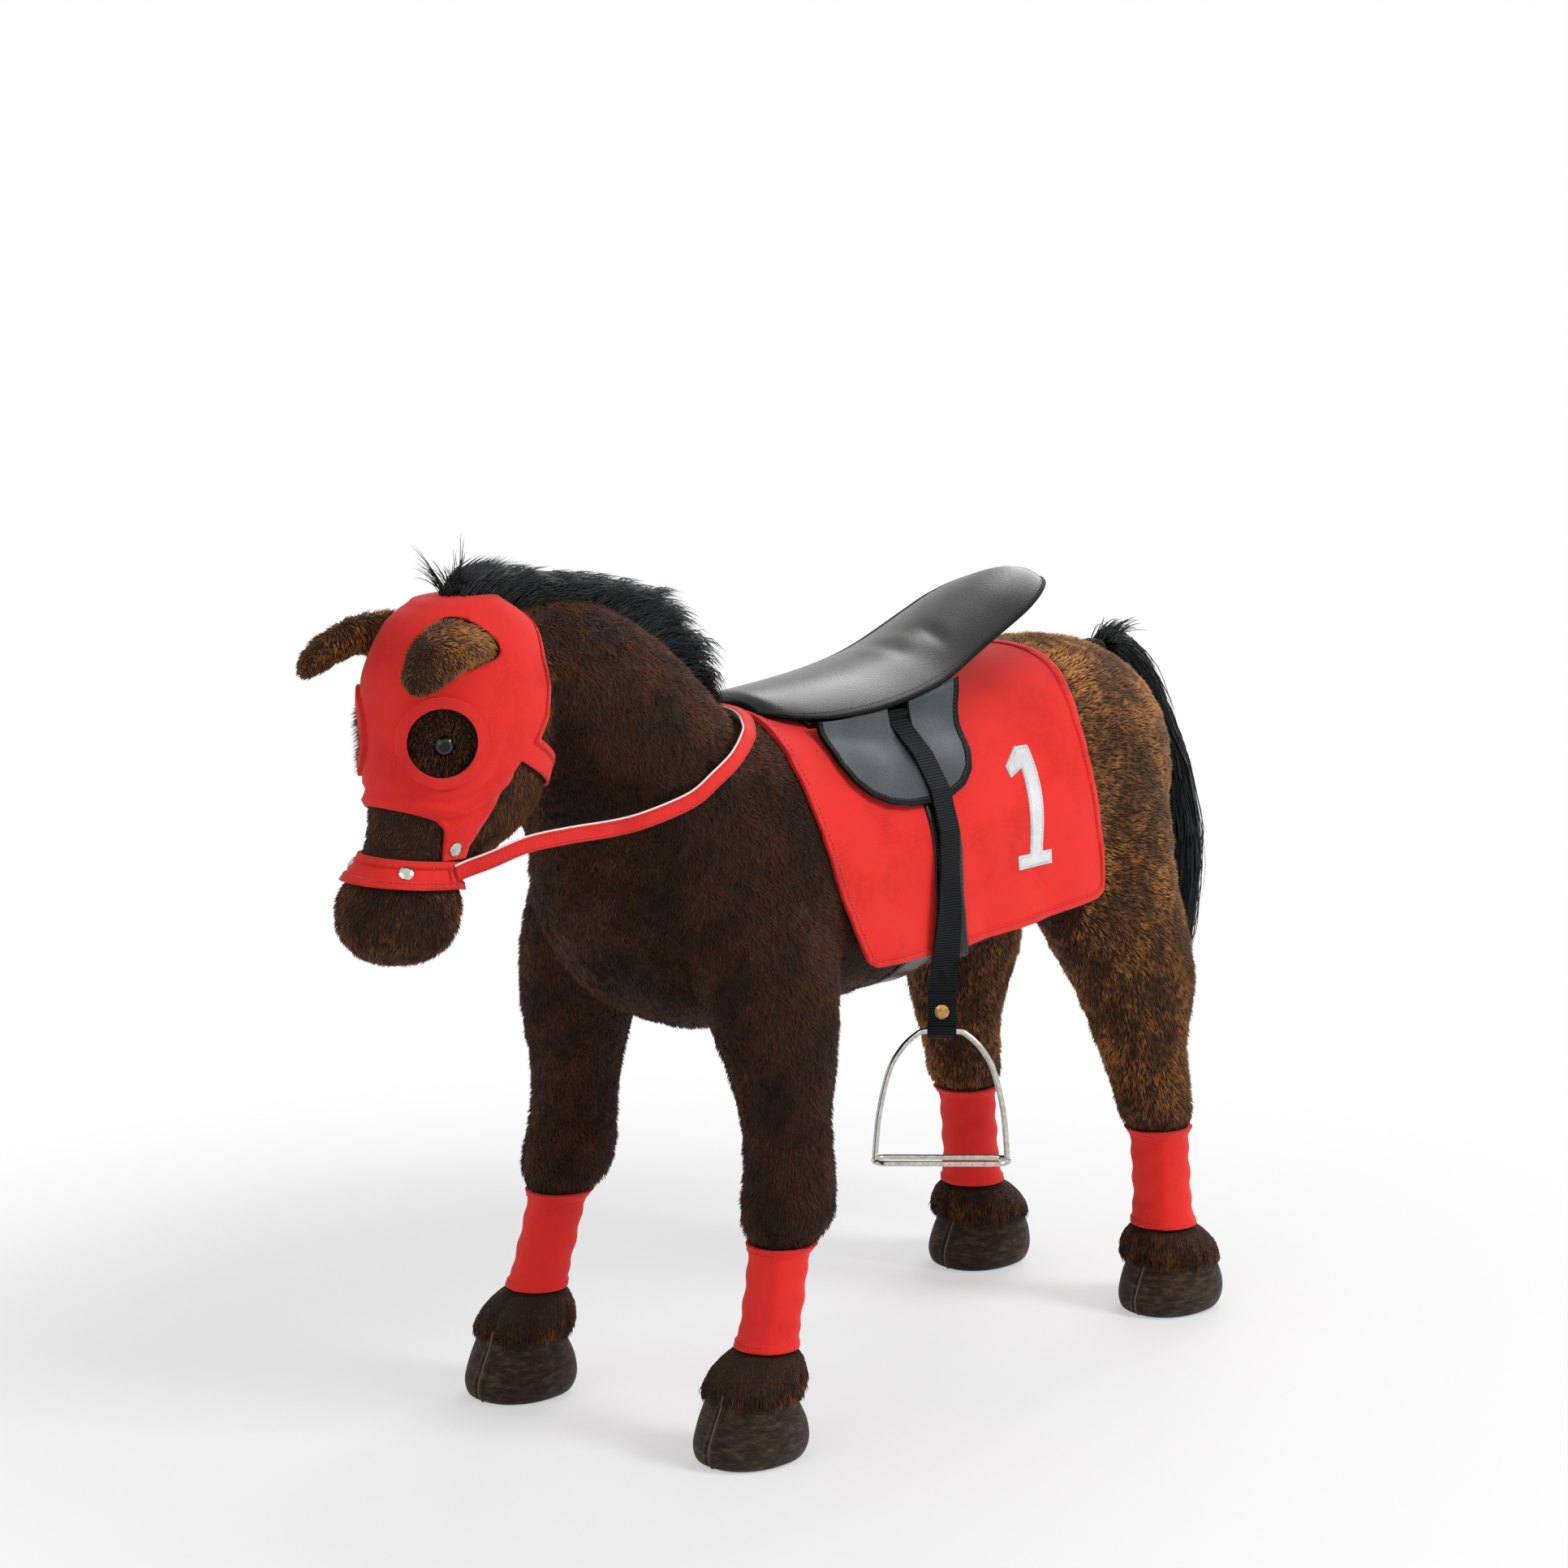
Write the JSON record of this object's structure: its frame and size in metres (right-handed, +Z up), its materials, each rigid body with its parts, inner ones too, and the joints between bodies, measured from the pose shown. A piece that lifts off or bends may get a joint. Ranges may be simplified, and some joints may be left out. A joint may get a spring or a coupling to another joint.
{
  "type": "ride-on horse",
  "caption": "Standing plush racehorse for a child to ride: steel framed body with racing saddle, cloth, hood, rein, leg wraps and swinging stirrups.",
  "frame": {"origin": "on the ground, under the middle of the object's box", "axes": "the horse faces -Y, its left side is +X, +Z is up"},
  "size_m": [0.4448, 1.1914, 0.8441],
  "materials": {
    "plush": "short dark brown plush, lighter at the tips",
    "long_hair": "long straight black hair",
    "red_cloth": "woven red cloth with stitched edges",
    "suede": "dark brown suede",
    "leatherette": "soft black leatherette",
    "grey_leatherette": "soft grey leatherette",
    "webbing": "ribbed black webbing",
    "white_felt": "white felt",
    "copper": "polished copper colour",
    "polished_steel": "polished",
    "frame_steel": "black powder coat",
    "eye": "polished dark brown"
  },
  "bodies": {
    "horse": {"torso": "plush", "neck": "plush", "head": "plush", "front_leg_frame": "frame_steel", "rear_leg_frame": "frame_steel", "spine_frame": "frame_steel", "front_frame_bolt": "frame_steel", "rear_frame_bolt": "frame_steel", "fore_leg_left": "plush", "fore_hoof_left": "suede", "fore_wrap_left": "red_cloth", "fore_cuff_left": "plush", "fore_leg_right": "plush", "fore_hoof_right": "suede", "fore_wrap_right": "red_cloth", "fore_cuff_right": "plush", "hind_leg_left": "plush", "hind_hoof_left": "suede", "hind_wrap_left": "red_cloth", "hind_cuff_left": "plush", "hind_leg_right": "plush", "hind_hoof_right": "suede", "hind_wrap_right": "red_cloth", "hind_cuff_right": "plush", "ear_left": "plush", "eye_left": "eye", "ear_right": "plush", "eye_right": "eye", "racing_hood": "red_cloth", "noseband": "red_cloth", "chin_strap": "red_cloth", "eye_rim_left": "red_cloth", "nose_snap_left": "polished_steel", "cheek_snap_left": "polished_steel", "eye_rim_right": "red_cloth", "nose_snap_right": "polished_steel", "cheek_snap_right": "polished_steel", "mane": "long_hair", "saddle_cloth": "red_cloth", "number_left": "white_felt", "number_right": "white_felt", "girth": "leatherette", "saddle_seat": "leatherette", "saddle_panel": "leatherette", "saddle_flap_left": "grey_leatherette", "stirrup_bar_left": "polished_steel", "saddle_flap_right": "grey_leatherette", "stirrup_bar_right": "polished_steel", "rein": "red_cloth"},
    "left_leather": {"stirrup_leather_left": "webbing", "rivet_left": "copper"},
    "right_leather": {"stirrup_leather_right": "webbing", "rivet_right": "copper"},
    "left_iron": {"stirrup_iron_left": "polished_steel"},
    "right_iron": {"stirrup_iron_right": "polished_steel"},
    "tail_stub": {"tail_dock": "long_hair"},
    "tail_hair": {"tail": "long_hair"}
  },
  "joints": [
    {"name": "left_leather_swing", "type": "hinge", "parent": "horse", "child": "left_leather", "pos_m": [0.08, 0.03822, 0.6585], "axis": [0, -1, 0], "range_deg": [0, 45]},
    {"name": "right_leather_swing", "type": "hinge", "parent": "horse", "child": "right_leather", "pos_m": [-0.08, 0.03822, 0.6585], "axis": [0, 1, 0], "range_deg": [0, 45]},
    {"name": "left_iron_swing", "type": "hinge", "parent": "left_leather", "child": "left_iron", "pos_m": [0.168, 0.00922, 0.3665], "axis": [0.7478, 0.664, 0], "range_deg": [-30, 30]},
    {"name": "right_iron_swing", "type": "hinge", "parent": "right_leather", "child": "right_iron", "pos_m": [-0.168, 0.11322, 0.3665], "axis": [-0.7478, 0.664, 0], "range_deg": [-30, 30]},
    {"name": "tail_lift", "type": "hinge", "parent": "horse", "child": "tail_stub", "pos_m": [0, 0.43822, 0.665], "axis": [1, 0, 0], "range_deg": [0, 45]},
    {"name": "tail_sway", "type": "hinge", "parent": "tail_stub", "child": "tail_hair", "pos_m": [0, 0.43822, 0.665], "axis": [0, 1, 0], "range_deg": [-15, 15]}
  ]
}
